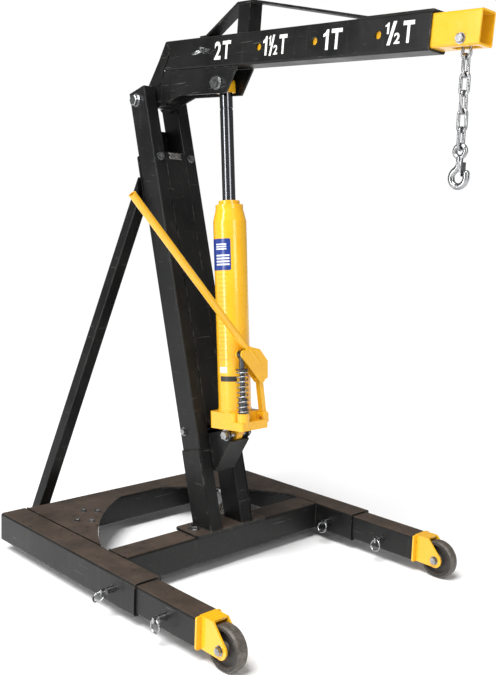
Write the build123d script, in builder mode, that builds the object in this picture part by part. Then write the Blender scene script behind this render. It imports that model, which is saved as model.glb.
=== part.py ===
"""Two-tonne engine hoist crane: wheeled base, leaning mast, telescoping boom, long-ram jack, chain and hook.

Millimetres. +X is forward (the way the boom points), +Y is the hoist's left, +Z is up.
The model is laid out from the rear face of the base on the floor, then moved so that its own origin
is the middle of its footprint on the floor.
"""
from build123d import *
import os
from math import atan2, cos, degrees, hypot, radians, sin

# ---------------------------------------------------------------- driving dimensions
BASE_WIDTH = 980
TUBE = 90
TUBE_WALL = 5
TUBE_CORNER = 8
FRAME_TOP = 121
FRAME_BOTTOM = FRAME_TOP - TUBE
FRAME_MID = FRAME_TOP - TUBE / 2
ARM_LENGTH = 715
ARM_Y = BASE_WIDTH / 2 - TUBE / 2
FRONT_BAR_X = 466
LEG = 78
LEG_WALL = 5
LEG_REAR_X = 480
LEG_FRONT_X = 956
ARM_PIN_X = 619
LEG_PIN_X = 838

MAST_LEAN = 16
MAST_FRONT_X = 565
MAST_LENGTH = 1430
POST_DEPTH = 82
POST_WIDTH = 46
POST_INNER_Y = 40
POST_OUTER_Y = POST_INNER_Y + POST_WIDTH
POST_WALL = 4
FOOT_PLATE_T = 8
BRACE = 40
BRACE_TAB = 6
BRACE_FOOT_Y = 340
PIVOT_BACK = -48
PIVOT_UP = 1397

BOOM_TILT = -3.3
BOOM_REAR_X = 216.5
BOOM_REAR_Z = 1634
BOOM_W = 70
BOOM_H = 92
BOOM_WALL = 5
BOOM_LENGTH = 1005
KING_POST = 84
INNER_W = 58
INNER_H = 80
INNER_REAR_L = 180
INNER_FRONT_L = 1136
HOLE_PITCH = 212.6
HOLE_DROP = 46
CHAIN_L = 1087
CHAIN_H = 70
GUSSET_T = 6
GUSSET_OUT_Y = BOOM_W / 2

PIN_R = 9
PIN_HOLE_R = 10
RING_R = 17
RING_WIRE_R = 2.5

JACK_FOOT = (563, 425)
RAM_PIN = (466, 1481)
CYL_R = 50.5
CYL_BORE_R = 44
CYL_TOP = 650
RAM_R = 19.8
GLAND_BORE_R = 19.88
JACK_FLOOR = 21
RAM_BOLT_R = 10
RAM_HEAD_R = 21
PUMP_X = 72
PISTON_YZ = (-34, 250)
FULCRUM_YZ = (36, 172)
SPRING_FOOT = 72
SPRING_TOP = 202
SPRING_WIRE_R = 2
LINK_FOOT_YZ = (48, 60)
CHEEK_IN = 9
CHEEK_T = 5
HANDLE_R = 11
HANDLE_LENGTH = 651

LINK_WIRE_R = 4
LINK_HALF_W = 10.5
LINK_STRAIGHT = 14.5
LINK_PITCH = 41.7
LINKS = 6
CHAIN_BOLT_R = 6
HOOK_R = 8

FRONT_WHEEL_R = 57
FRONT_WHEEL_X = 1030
FRONT_WHEEL_W = 34
REAR_WHEEL_R = 40
REAR_WHEEL_W = 28
REAR_SWIVEL = (193, 291)
REAR_TRAIL = 34
REAR_HEADING = 123
SWIVEL_Z = 97
AXLE_R = 6


# ---------------------------------------------------------------- frames of the leaning parts
def mast_point(forward, up):
    """A point on the mast's middle plane: forward of its front face, up along the post from the base top."""
    lean = radians(MAST_LEAN)
    x = MAST_FRONT_X + forward * cos(lean) - up * sin(lean)
    return (x, FRAME_TOP + up * cos(lean) + forward * sin(lean))


def boom_point(along, down):
    """A point on the boom's middle plane: along the boom from its rear end, down from its top face."""
    tilt = radians(BOOM_TILT)
    x = BOOM_REAR_X + along * cos(tilt) + down * sin(tilt)
    return (x, BOOM_REAR_Z + along * sin(tilt) - down * cos(tilt))


JACK_LEAN = atan2(JACK_FOOT[0] - RAM_PIN[0], RAM_PIN[1] - JACK_FOOT[1])
JACK_SPAN = hypot(JACK_FOOT[0] - RAM_PIN[0], RAM_PIN[1] - JACK_FOOT[1])
BOOM_PIVOT = mast_point(PIVOT_BACK, PIVOT_UP)
CHAIN_TOP = boom_point(CHAIN_L, CHAIN_H)


def side_plane(y=0):
    """Upright plane facing -Y, with its own x along +X and its own y along +Z."""
    return Plane(origin=(0, y, 0), x_dir=(1, 0, 0), z_dir=(0, -1, 0))


def mast_plane(forward, up, y=0):
    """Plane parallel to the mast's front face, facing forward, its own y up along the post."""
    x, z = mast_point(forward, up)
    lean = radians(MAST_LEAN)
    return Plane(origin=(x, y, z), x_dir=(0, 1, 0), z_dir=(cos(lean), 0, sin(lean)))


def boom_plane(along, down):
    """Plane square to the boom, facing along it, its own x along +Y."""
    x, z = boom_point(along, down)
    tilt = radians(BOOM_TILT)
    return Plane(origin=(x, 0, z), x_dir=(0, 1, 0), z_dir=(cos(tilt), 0, sin(tilt)))


def jack_point(x, y, up):
    """A point in the jack's own frame: forward, left and up along the ram from the foot bolt."""
    return (
        JACK_FOOT[0] + x * cos(JACK_LEAN) - up * sin(JACK_LEAN),
        y,
        JACK_FOOT[1] + x * sin(JACK_LEAN) + up * cos(JACK_LEAN),
    )


def jack_plane(up, x=0, y=0):
    """Plane square to the ram, facing up along it, its own x forward."""
    along = (-sin(JACK_LEAN), 0, cos(JACK_LEAN))
    return Plane(origin=jack_point(x, y, up), x_dir=(cos(JACK_LEAN), 0, sin(JACK_LEAN)), z_dir=along)


def pump_plane(x):
    """Plane of the pump linkage, facing forward, its own x along +Y and its own y up along the jack."""
    facing = (cos(JACK_LEAN), 0, sin(JACK_LEAN))
    return Plane(origin=jack_point(x, 0, 0), x_dir=(0, 1, 0), z_dir=facing)


# ---------------------------------------------------------------- shapes used again and again
def square_tube(plane, width, height, wall, length, corner):
    """A straight rectangular tube that starts on the plane."""
    with BuildPart() as tube:
        with BuildSketch(plane):
            RectangleRounded(width, height, corner)
            RectangleRounded(width - 2 * wall, height - 2 * wall, corner - wall / 2, mode=Mode.SUBTRACT)
        extrude(amount=length)
    return tube.part


def plate(plane, outline, thickness, both=True):
    """A flat plate with a straight-edged outline, centred on the plane or standing on it."""
    with BuildPart() as sheet:
        with BuildSketch(plane):
            Polygon(*outline, align=None)
        extrude(amount=thickness / 2 if both else thickness, both=both)
    return sheet.part


def cylinder_on(plane, radius, length, both=False):
    """A round bar that starts on the plane, or is centred on it."""
    with BuildPart() as bar:
        with BuildSketch(plane):
            Circle(radius)
        extrude(amount=length / 2 if both else length, both=both)
    return bar.part


def ring_on(plane, outer, inner, length):
    """A washer, bush or collar that starts on the plane."""
    with BuildPart() as collar:
        with BuildSketch(plane):
            Circle(outer)
            Circle(inner, mode=Mode.SUBTRACT)
        extrude(amount=length)
    return collar.part


def bolt_and_nut(head_plane, radius, grip):
    """Hexagon bolt, two washers and a nut. The plane is the clamped face, facing out of the work."""
    washer_t = radius * 0.3
    head_t = radius * 1.3
    into = Plane(origin=head_plane.origin, x_dir=head_plane.x_dir, z_dir=-head_plane.z_dir)
    with BuildPart() as bolt:
        with BuildSketch(head_plane.offset(washer_t)):
            RegularPolygon(radius * 1.85, 6)
        extrude(amount=head_t)
        chamfer(bolt.faces().sort_by(Axis(head_plane.origin, head_plane.z_dir))[-1].edges(), radius * 0.2)
        with BuildSketch(into.offset(-washer_t)):
            Circle(radius)
        extrude(amount=grip + 2 * washer_t + head_t + radius * 0.6)
    with BuildPart() as nut:
        with BuildSketch(into.offset(grip + washer_t)):
            RegularPolygon(radius * 1.85, 6)
            Circle(radius, mode=Mode.SUBTRACT)
        extrude(amount=head_t)
    near_washer = ring_on(head_plane, radius * 2.2, radius, washer_t)
    far_washer = ring_on(into.offset(grip), radius * 2.2, radius, washer_t)
    return [bolt.part, nut.part, near_washer, far_washer]


made = {}


def keep(name, *solids):
    """Remember the finished solids of one node."""
    made[name] = list(solids)


def bore(part, plane, radius, length=400):
    """The part with a round hole through it along the plane's normal."""
    with BuildPart() as bored:
        add(part)
        with BuildSketch(plane):
            Circle(radius)
        extrude(amount=length / 2, both=True, mode=Mode.SUBTRACT)
    return bored.part


# ---------------------------------------------------------------- base
def base_frame():
    for side, name in ((-1, "right"), (1, "left")):
        start = Plane(origin=(0, side * ARM_Y, FRAME_MID), x_dir=(0, 1, 0), z_dir=(1, 0, 0))
        arm = square_tube(start, TUBE, TUBE, TUBE_WALL, ARM_LENGTH, TUBE_CORNER)
        hole = Plane(origin=(ARM_PIN_X, side * ARM_Y, FRAME_MID), x_dir=(1, 0, 0), z_dir=(0, 1, 0))
        keep(f"outer_arm_{name}", bore(arm, hole, PIN_HOLE_R, 120))
    inside = BASE_WIDTH - 2 * TUBE
    for name, x in (("rear_crossbar", 0), ("front_crossbar", FRONT_BAR_X)):
        start = Plane(origin=(x + TUBE / 2, -inside / 2, FRAME_MID), x_dir=(1, 0, 0), z_dir=(0, 1, 0))
        bar = square_tube(start, TUBE, TUBE, TUBE_WALL, inside, TUBE_CORNER)
        if name == "rear_crossbar":
            for side in (-1, 1):
                bar = bore(bar, rear_tab_plane(side).move(Location((0, -20, 0))), 6.2, 300)
        else:
            for side in (-1, 1):
                bar = bore(bar, Plane.XY.move(Location((FRONT_BAR_X + 45, side * 115, 0))), 8.2, 300)
        keep(name, bar)


def corner_gusset(side):
    """Flat gusset let in flush between an outer arm and the rear crossbar, with a hollowed inner edge."""
    inner = BASE_WIDTH / 2 - TUBE
    with BuildPart() as gusset:
        with BuildSketch(Plane.XY.offset(FRAME_TOP - 6)):
            with BuildLine():
                Line((TUBE, side * 90), (TUBE, side * inner))
                Line((TUBE, side * inner), (430, side * inner))
                ThreePointArc((430, side * inner), (238, side * 272), (TUBE, side * 90))
            make_face()
        extrude(amount=6)
        with BuildSketch(Plane.XY.offset(FRAME_TOP - 6)):
            with Locations(*caster_bolt_places(side)):
                Circle(5.2)
        extrude(amount=6, mode=Mode.SUBTRACT)
    return gusset.part


def caster_bolt_places(side):
    """The four bolt places of a rear caster's top plate, which sits at 45 degrees in its corner."""
    x, y = REAR_SWIVEL
    turn = radians(45)
    places = []
    for along, across in ((-47, -23), (-47, 23), (47, -23), (47, 23)):
        places.append(
            (x + along * cos(turn) - across * sin(turn), side * (y + along * sin(turn) + across * cos(turn)))
        )
    return places


# ---------------------------------------------------------------- mast
def mast_post(side):
    """Leaning post, hollow, cut level at the foot and square at the top, bored for the boom pivot."""
    def outline(gap):
        foot = FOOT_PLATE_T + gap
        lean = radians(MAST_LEAN)
        front_up = (foot + gap * sin(lean)) / cos(lean)
        rear = -POST_DEPTH + gap
        rear_up = (foot - rear * sin(lean)) / cos(lean)
        return [
            mast_point(-gap, front_up),
            mast_point(-gap, MAST_LENGTH - gap),
            mast_point(rear, MAST_LENGTH - gap),
            mast_point(rear, rear_up),
        ]
    middle = side * (POST_INNER_Y + POST_WIDTH / 2)
    with BuildPart() as post:
        with BuildSketch(side_plane(middle)):
            Polygon(*outline(0), align=None)
        extrude(amount=POST_WIDTH / 2, both=True)
        fillet(post.edges().filter_by(Axis(mast_axis_origin(), mast_axis_dir())), 5)
        with BuildSketch(side_plane(middle)):
            Polygon(*outline(POST_WALL), align=None)
        extrude(amount=POST_WIDTH / 2 - POST_WALL, both=True, mode=Mode.SUBTRACT)
        with BuildSketch(side_plane(middle)):
            with Locations(BOOM_PIVOT):
                Circle(10.1)
            with Locations(mast_point(-60, 322)):
                Circle(6.2)
        extrude(amount=POST_WIDTH, both=True, mode=Mode.SUBTRACT)
        with BuildSketch(mast_plane(-POST_DEPTH / 2, 1198, middle)):
            Circle(6.2)
        extrude(amount=POST_DEPTH, both=True, mode=Mode.SUBTRACT)
    return post.part


def mast_axis_origin():
    x, z = mast_point(0, 0)
    return (x, 0, z)


def mast_axis_dir():
    return (-sin(radians(MAST_LEAN)), 0, cos(radians(MAST_LEAN)))


def mast_webs():
    """Plates that close the front and the rear between the posts."""
    front = plate(side_plane(), [mast_point(f, u) for f, u in ((-5, 332), (0, 332), (0, 1215), (-5, 1215))],
                  2 * POST_INNER_Y)
    rear_front = -POST_DEPTH + 5
    corners = ((-POST_DEPTH, 300), (rear_front, 300), (rear_front, 1315), (-POST_DEPTH, 1315))
    rear = plate(side_plane(), [mast_point(f, u) for f, u in corners], 2 * POST_INNER_Y)
    return front, rear


def mast_doubler(side):
    """Plate welded on the outside of a post's lower end."""
    lean = radians(MAST_LEAN)
    corners = [(0, FOOT_PLATE_T / cos(lean)), (0, 262), (-POST_DEPTH, 262)]
    corners.append((-POST_DEPTH, (FOOT_PLATE_T + POST_DEPTH * sin(lean)) / cos(lean)))
    return plate(side_plane(side * (POST_OUTER_Y + 2)), [mast_point(f, u) for f, u in corners], 4)


def jack_bracket():
    """Two ears on the posts' inner faces, joined by a sloping plate under the jack."""
    lobe_r = 18
    with BuildPart() as bracket:
        for side in (-1, 1):
            with BuildSketch(side_plane(side * (POST_INNER_Y - 3))):
                Polygon(*[mast_point(f, u) for f, u in ((-45, 190), (-45, 305), (84, 306), (98, 282), (2, 190))],
                        align=None)
                with Locations(JACK_FOOT):
                    Circle(lobe_r)
                    Circle(8.1, mode=Mode.SUBTRACT)
            extrude(amount=3, both=True)
        with BuildSketch(side_plane()):
            Polygon(*[mast_point(f, u) for f, u in ((2, 190), (92, 274), (95, 270), (5, 186))], align=None)
        extrude(amount=POST_INNER_Y, both=True)
    return bracket.part


def rear_brace(side):
    """Square-tube brace from the back of the rear crossbar to the back of a post, with two bolted tabs."""
    foot = Vector(-BRACE / 2 - BRACE_TAB + 1, side * BRACE_FOOT_Y, FRAME_MID + 12)
    top_x, top_z = mast_point(-POST_DEPTH - 18, 1085)
    head = Vector(top_x, side * 92, top_z)
    run = head - foot
    start = Plane(origin=foot, x_dir=(1, 0, -run.X / run.Z), z_dir=run.normalized())
    behind = mast_plane(-POST_DEPTH - BRACE_TAB, 1170)
    with BuildPart() as brace:
        add(square_tube(start, BRACE, BRACE, 3, run.length + 90, 4))
        split(bisect_by=behind, keep=Keep.BOTTOM)
        with BuildSketch(rear_tab_plane(side)):
            RectangleRounded(50, 86, 8)
            with Locations((0, -20)):
                Circle(6.2, mode=Mode.SUBTRACT)
        extrude(amount=BRACE_TAB)
        with BuildSketch(mast_plane(-POST_DEPTH - BRACE_TAB, 1140, side * 65)):
            RectangleRounded(44, 170, 8)
            with Locations((side * -2, 58)):
                Circle(6.2, mode=Mode.SUBTRACT)
        extrude(amount=BRACE_TAB)
    return brace.part


def rear_tab_plane(side):
    """Rear face of the rear crossbar where a brace's lower tab lies, facing backwards."""
    return Plane(origin=(0, side * BRACE_FOOT_Y, FRAME_MID), x_dir=(0, -1, 0), z_dir=(-1, 0, 0))


def frame_bolts():
    """Every bolt, nut and washer that holds the base, the mast and the braces together."""
    parts = []
    for side in (-1, 1):
        foot = Plane.XY.offset(FRAME_TOP + FOOT_PLATE_T).move(Location((FRONT_BAR_X + 45, side * 115, 0)))
        parts += bolt_and_nut(foot, 8, TUBE + FOOT_PLATE_T)
        tab = rear_tab_plane(side).offset(BRACE_TAB).move(Location((0, -20, 0)))
        parts += bolt_and_nut(tab, 6, TUBE + BRACE_TAB)
        post_y = side * (POST_INNER_Y + POST_WIDTH / 2)
        rear = mast_plane(-POST_DEPTH - BRACE_TAB, 1198, post_y)
        head = Plane(origin=rear.origin, x_dir=rear.x_dir, z_dir=-rear.z_dir)
        parts += bolt_and_nut(head, 6, POST_DEPTH + BRACE_TAB)
    x, z = mast_point(-60, 322)
    across = Plane(origin=(x, -POST_OUTER_Y, z), x_dir=(1, 0, 0), z_dir=(0, -1, 0))
    parts += bolt_and_nut(across, 6, 2 * POST_OUTER_Y)
    return parts


# ---------------------------------------------------------------- rear casters
def caster_plate(side):
    """Top plate and bearing boss of a rear swivel caster, bolted under the corner gusset."""
    x, y = REAR_SWIVEL
    with BuildPart() as top:
        with BuildSketch(Plane.XY.offset(FRAME_TOP - 11)):
            with Locations(Location((x, side * y, 0), (0, 0, side * 45))):
                RectangleRounded(122, 72, 8)
            with Locations(*caster_bolt_places(side)):
                Circle(5.2, mode=Mode.SUBTRACT)
        extrude(amount=5)
        with BuildSketch(Plane.XY.offset(SWIVEL_Z + 0.3)):
            with Locations((x, side * y)):
                Circle(24)
        extrude(amount=FRAME_TOP - 11 - SWIVEL_Z - 0.3)
    return top.part


def caster_bolts():
    parts = []
    for side in (-1, 1):
        for x, y in caster_bolt_places(side):
            parts += bolt_and_nut(Plane.XY.offset(FRAME_TOP).move(Location((x, y, 0))), 5, 11)
    return parts


def rear_caster(side):
    """Swivel fork, its axle, and the wheel, trailing inwards."""
    x, y = REAR_SWIVEL
    heading = radians(side * REAR_HEADING * -1)
    wheel_x = x + REAR_TRAIL * cos(heading)
    wheel_y = side * y + REAR_TRAIL * sin(heading)
    top = SWIVEL_Z
    cheek_in = REAR_WHEEL_W / 2 + 3
    turned = Plane(origin=(wheel_x, wheel_y, REAR_WHEEL_R), x_dir=(cos(heading), sin(heading), 0),
                   z_dir=(sin(heading), -cos(heading), 0))
    with BuildPart() as fork:
        with BuildSketch(Plane(origin=(x, side * y, top - 4), x_dir=turned.x_dir, z_dir=(0, 0, 1))):
            with Locations((8, 0)):
                RectangleRounded(72, 2 * (cheek_in + 3), 8)
        extrude(amount=4)
        for way in (-1, 1):
            with BuildSketch(turned.offset(way * (cheek_in + 1.5))):
                Polygon((-REAR_TRAIL - 26, top - 2 - REAR_WHEEL_R), (10, top - 2 - REAR_WHEEL_R), (14, 0),
                        (0, -14), (-14, 0), align=None)
                Circle(14)
                Circle(AXLE_R + 0.02, mode=Mode.SUBTRACT)
            extrude(amount=1.5, both=True)
    axle = cylinder_on(turned, AXLE_R, 2 * cheek_in + 14, both=True)
    wheel = caster_wheel(turned, REAR_WHEEL_R, REAR_WHEEL_W)
    return fork.part, axle, wheel


def caster_wheel(plane, radius, width):
    """Tyre and disc in one moulding, with a rounded tread, dished sides and a hub."""
    half = width / 2
    hub = half + 1.5
    rim = radius * 0.76
    with BuildPart() as wheel:
        with BuildSketch(Plane(origin=plane.origin, x_dir=plane.x_dir, z_dir=plane.y_dir)):
            with BuildLine():
                Polyline(
                    (AXLE_R + 0.06, -hub), (radius * 0.28, -hub), (radius * 0.32, -half * 0.45), (rim, -half * 0.45),
                    (rim + 2, -half), (radius - 4, -half), (radius, -half + 5), (radius, half - 5),
                    (radius - 4, half), (rim + 2, half), (rim, half * 0.45), (radius * 0.32, half * 0.45),
                    (radius * 0.28, hub), (AXLE_R + 0.06, hub), close=True,
                )
            make_face()
        revolve(axis=Axis(plane.origin, plane.z_dir))
    return wheel.part


# ---------------------------------------------------------------- sliding legs and front casters
def leg_tube(side):
    """Inner leg, with the rear lock hole run out to the rear end as a slot and a plain hole in front."""
    start = Plane(origin=(LEG_REAR_X, side * ARM_Y, FRAME_MID), x_dir=(0, 1, 0), z_dir=(1, 0, 0))
    middle = side_plane(side * ARM_Y)
    with BuildPart() as leg:
        add(square_tube(start, LEG, LEG, LEG_WALL, LEG_FRONT_X - LEG_REAR_X, 7))
        with BuildSketch(middle):
            with Locations((ARM_PIN_X, FRAME_MID), (LEG_PIN_X, FRAME_MID)):
                Circle(PIN_HOLE_R)
            with Locations(((LEG_REAR_X + ARM_PIN_X) / 2, FRAME_MID)):
                Rectangle(ARM_PIN_X - LEG_REAR_X, 2 * PIN_HOLE_R)
        extrude(amount=LEG, both=True, mode=Mode.SUBTRACT)
    return leg.part


def front_fork(side):
    """Fork that plugs into the leg: a tube held by the lock pin, an end plate, a top plate and two cheeks."""
    y = side * ARM_Y
    cheek_in = FRONT_WHEEL_W / 2 + 4
    start = Plane(origin=(790, y, FRAME_MID), x_dir=(0, 1, 0), z_dir=(1, 0, 0))
    with BuildPart() as fork:
        add(square_tube(start, LEG - 2 * LEG_WALL - 2, LEG - 2 * LEG_WALL - 2, 4, LEG_FRONT_X - 790, 5))
        with BuildSketch(side_plane(y)):
            with Locations((LEG_PIN_X, FRAME_MID)):
                Circle(PIN_HOLE_R)
        extrude(amount=LEG, both=True, mode=Mode.SUBTRACT)
        with BuildSketch(Plane(origin=(LEG_FRONT_X, y, FRAME_MID), x_dir=(0, 1, 0), z_dir=(1, 0, 0))):
            RectangleRounded(LEG + 2, LEG + 6, 5)
        extrude(amount=6)
        with BuildSketch(Plane.XY.offset(FRAME_TOP - 6)):
            with Locations((LEG_FRONT_X + 24, y)):
                Rectangle(48, 2 * (cheek_in + 5))
        extrude(amount=5)
        for way in (-1, 1):
            with BuildSketch(side_plane(y + way * (cheek_in + 2.5))):
                Polygon((LEG_FRONT_X + 3, 36), (LEG_FRONT_X + 3, FRAME_TOP - 1), (LEG_FRONT_X + 48, FRAME_TOP - 1),
                        (FRONT_WHEEL_X + 14, FRONT_WHEEL_R + 18), (FRONT_WHEEL_X, FRONT_WHEEL_R - 22), align=None)
                with Locations((FRONT_WHEEL_X, FRONT_WHEEL_R)):
                    Circle(23)
                    Circle(AXLE_R + 0.02, mode=Mode.SUBTRACT)
            extrude(amount=2.5, both=True)
    return fork.part


def front_caster(side):
    y = side * ARM_Y
    cheek_out = FRONT_WHEEL_W / 2 + 9
    centre = Plane(origin=(FRONT_WHEEL_X, y, FRONT_WHEEL_R), x_dir=(1, 0, 0), z_dir=(0, -1, 0))
    axle = bolt_and_nut(centre.offset(cheek_out), AXLE_R, 2 * cheek_out)
    return axle, caster_wheel(centre, FRONT_WHEEL_R, FRONT_WHEEL_W)


# ---------------------------------------------------------------- lock pins
def lock_pin(x, y_out, z, reach, ring_tilt):
    """Round pin put in from the right, with a flat drilled end and a pull ring through it."""
    stand_out = 22
    tab_y = y_out - stand_out - 8
    with BuildPart() as pin:
        with BuildSketch(side_plane(y_out + reach)):
            with Locations((x, z)):
                Circle(PIN_R)
        extrude(amount=reach + stand_out)
        chamfer(pin.faces().sort_by(Axis.Y)[-1].edges(), 2)
        with BuildSketch(side_plane(y_out - stand_out)):
            with Locations((x, z)):
                Rectangle(6, 2 * PIN_R - 2)
        extrude(amount=16)
        with BuildSketch(Plane.YZ.offset(x)):
            with Locations((tab_y, z)):
                Circle(4.2)
        extrude(amount=10, both=True, mode=Mode.SUBTRACT)
    turn = radians(ring_tilt)
    centre = (x, tab_y - RING_R * sin(turn), z - RING_R * cos(turn))
    with BuildPart() as ring:
        with BuildSketch(Plane(origin=centre, x_dir=(1, 0, 0), z_dir=(0, -sin(turn), -cos(turn)))):
            with Locations((RING_R, 0)):
                Circle(RING_WIRE_R)
        revolve(axis=Axis(centre, (0, -cos(turn), sin(turn))))
    return pin.part, ring.part


# ---------------------------------------------------------------- boom
def outer_boom():
    with BuildPart() as boom:
        add(square_tube(boom_plane(0, BOOM_H / 2), BOOM_W, BOOM_H, BOOM_WALL, BOOM_LENGTH, 7))
        with BuildSketch(side_plane()):
            with Locations(*[boom_point(HOLE_PITCH * (n + 1), HOLE_DROP) for n in range(4)]):
                Circle(PIN_HOLE_R)
        extrude(amount=BOOM_W, both=True, mode=Mode.SUBTRACT)
    return boom.part


def boom_gusset(side):
    """Side plate that hangs under the boom's rear end and carries the pivot and the ram bolt."""
    outline = [boom_point(a, d) for a, d in ((0, BOOM_H), (-34, BOOM_H + 4), (-97, 168), (-90, 206), (-50, 214),
                                             (80, 170), (299, 168), (341, BOOM_H))]
    with BuildPart() as gusset:
        with BuildSketch(side_plane(side * (GUSSET_OUT_Y - GUSSET_T / 2))):
            Polygon(*outline, align=None)
            with Locations(BOOM_PIVOT):
                Circle(27)
                Circle(16, mode=Mode.SUBTRACT)
            with Locations(RAM_PIN):
                Circle(RAM_BOLT_R + 0.1, mode=Mode.SUBTRACT)
        extrude(amount=GUSSET_T / 2, both=True)
    return gusset.part


def boom_rear_plate(side):
    """Three-cornered stiffener welded on the outside of a gusset at its rear edge."""
    corners = ((2, 4), (-28, 60), (-76, 136), (-20, 136), (26, 30))
    return plate(side_plane(side * (GUSSET_OUT_Y + 1.5)), [boom_point(a, d) for a, d in corners], 3)


def king_post():
    """Upright on top of the boom that holds the tension strap up."""
    with BuildPart() as post:
        with BuildSketch(boom_plane(319, 0)):
            with Locations((0, KING_POST / 2)):
                Rectangle(48, KING_POST)
        extrude(amount=48)
        with BuildSketch(boom_plane(323, 0)):
            with Locations((0, KING_POST / 2)):
                Rectangle(40, KING_POST)
        extrude(amount=40, mode=Mode.SUBTRACT)
    return post.part


def tension_strap():
    """Flat strap from the boom's rear top over the king post to its front end."""
    t = 6
    line = ((150, 0), (180, 0), (312, -84), (376, -84), (800, 0), (1000, 0))
    upper = ((1000, -t), (803, -t), (378, -84 - t), (310, -84 - t), (177, -t - 1), (150, -t))
    outline = [boom_point(a, d) for a, d in line + upper]
    return plate(side_plane(), outline, 44)


def ram_bolt_ends():
    """The parts of the ram bolt outside the open pivot: head, nut, washers and the stubs in the plates."""
    parts = []
    for side in (-1, 1):
        face = Plane(origin=(RAM_PIN[0], side * GUSSET_OUT_Y, RAM_PIN[1]), x_dir=(1, 0, 0), z_dir=(0, side, 0))
        with BuildPart() as end:
            with BuildSketch(face.offset(-GUSSET_T)):
                Circle(RAM_BOLT_R)
            extrude(amount=GUSSET_T + 3)
            with BuildSketch(face.offset(3)):
                RegularPolygon(18, 6)
            extrude(amount=12)
        parts += [end.part, ring_on(face, 21, RAM_BOLT_R, 3)]
    return parts


def inner_boom():
    """Sliding boom: lock hole run out to the rear as a slot, cross holes for the chain bolt, slotted floor."""
    with BuildPart() as boom:
        add(square_tube(boom_plane(INNER_REAR_L, BOOM_H / 2), INNER_W, INNER_H, 5,
                        INNER_FRONT_L - INNER_REAR_L, 6))
        rear = (INNER_REAR_L + HOLE_PITCH) / 2
        with BuildSketch(side_plane()):
            with Locations(boom_point(HOLE_PITCH, HOLE_DROP)):
                Circle(PIN_HOLE_R)
            with Locations(Location((*boom_point(rear - 2, HOLE_DROP), 0), (0, 0, BOOM_TILT))):
                Rectangle(HOLE_PITCH - INNER_REAR_L + 4, 2 * PIN_HOLE_R)
            with Locations(CHAIN_TOP):
                Circle(CHAIN_BOLT_R + 0.05)
        extrude(amount=INNER_W, both=True, mode=Mode.SUBTRACT)
        with BuildSketch(Plane(origin=(CHAIN_TOP[0], 0, CHAIN_TOP[1]), x_dir=(1, 0, 0), z_dir=(0, 0, -1))):
            RectangleRounded(72, 26, 8)
        extrude(amount=60, mode=Mode.SUBTRACT)
    return boom.part


# ---------------------------------------------------------------- chain and hook
def chain_link(number):
    """One link. Odd links lie across Y and even links lie across X, each hung in the one above."""
    centre_z = CHAIN_TOP[1] + CHAIN_BOLT_R + 0.3 + LINK_WIRE_R - LINK_STRAIGHT - LINK_HALF_W - number * LINK_PITCH
    flat = (1, 0, 0) if number % 2 == 0 else (0, 1, 0)
    face = Plane(origin=(CHAIN_TOP[0], 0, centre_z), x_dir=flat, z_dir=Vector(*flat).cross(Vector(0, 0, 1)))
    with BuildPart() as link:
        with BuildLine(face) as path:
            Line((LINK_HALF_W, -LINK_STRAIGHT), (LINK_HALF_W, LINK_STRAIGHT))
            CenterArc((0, LINK_STRAIGHT), LINK_HALF_W, 0, 180)
            Line((-LINK_HALF_W, LINK_STRAIGHT), (-LINK_HALF_W, -LINK_STRAIGHT))
            CenterArc((0, -LINK_STRAIGHT), LINK_HALF_W, 180, 180)
        with BuildSketch(Plane(origin=path.line @ 0, z_dir=path.line % 0)):
            Circle(LINK_WIRE_R)
        sweep()
    return link.part


def last_link_bottom():
    centre = CHAIN_TOP[1] + CHAIN_BOLT_R + 0.3 + LINK_WIRE_R - LINK_STRAIGHT - LINK_HALF_W
    return centre - (LINKS - 1) * LINK_PITCH - LINK_STRAIGHT - LINK_HALF_W


HOOK_EYE_R = 14
HOOK_EYE_WIRE_R = 6
HOOK_EYE_Z = last_link_bottom() + LINK_WIRE_R + HOOK_EYE_WIRE_R + 0.3 - HOOK_EYE_R
HOOK_BOWL_Z = HOOK_EYE_Z - 62
HOOK_BOWL_R = 20
LATCH_Z = HOOK_EYE_Z - 29
LATCH_PIN_R = 2


def turned_by_arc(start, end, direction):
    """The direction in which an arc leaves its end, when it starts off in the given direction."""
    chord = (Vector(*end) - Vector(*start)).normalized()
    leaving = chord * (2 * chord.dot(Vector(*direction))) - Vector(*direction)
    return (leaving.X, leaving.Y)


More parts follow.
